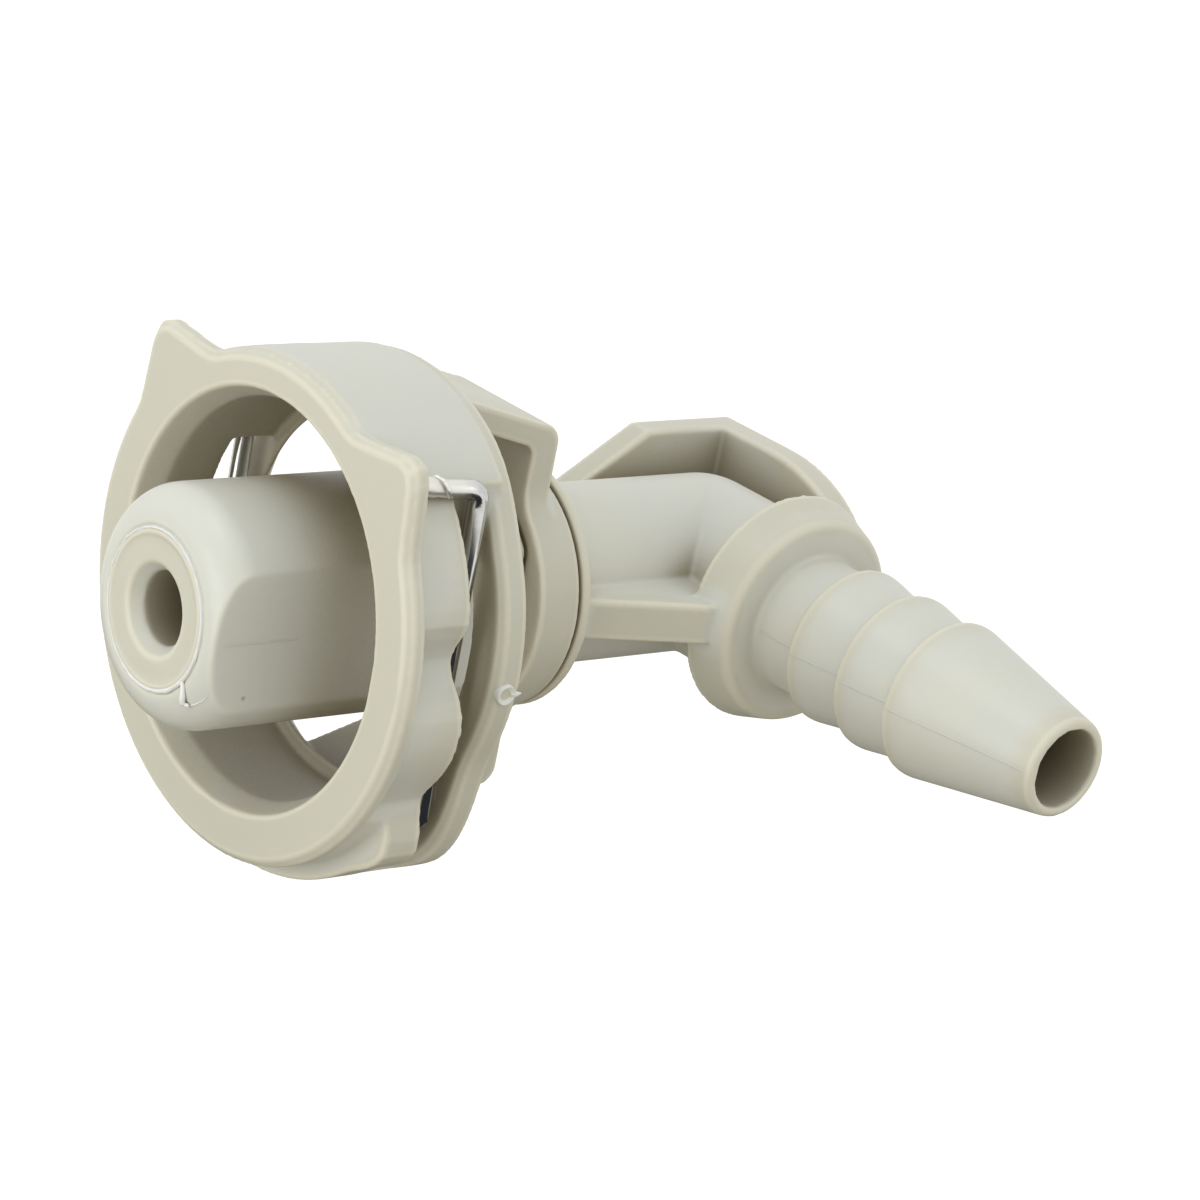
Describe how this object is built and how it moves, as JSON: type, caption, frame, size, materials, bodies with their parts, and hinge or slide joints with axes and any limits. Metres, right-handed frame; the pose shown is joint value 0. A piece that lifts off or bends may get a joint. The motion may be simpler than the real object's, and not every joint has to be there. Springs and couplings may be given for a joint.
{
  "type": "tank hose connector",
  "caption": "Elbowed quick connector that latches a hose to a tank outlet: a probe in a swivelling latch ring with a wire clip, and a hose barb at a right angle.",
  "frame": {"origin": "on the probe's axis, in the plane of the latch ring's front face", "axes": "-X out of the probe's nose, -Y along the hose barb to its tip, +Z midway between the latch ring's two ears"},
  "size_m": [0.0539, 0.0539, 0.0344],
  "materials": {
    "body_plastic": "satin moulded",
    "sleeve_plastic": "satin moulded",
    "cage_plastic": "satin moulded",
    "spring_steel": "polished drawn wire"
  },
  "bodies": {
    "connector": {"elbow_body": "body_plastic", "probe_sleeve": "sleeve_plastic"},
    "cage": {"latch_cage": "cage_plastic", "wire_clip": "spring_steel"}
  },
  "joints": [
    {"name": "cage_swivel", "type": "hinge", "parent": "connector", "child": "cage", "pos_m": [0.019, 0, 0], "axis": [1, 0, 0], "continuous": true}
  ]
}
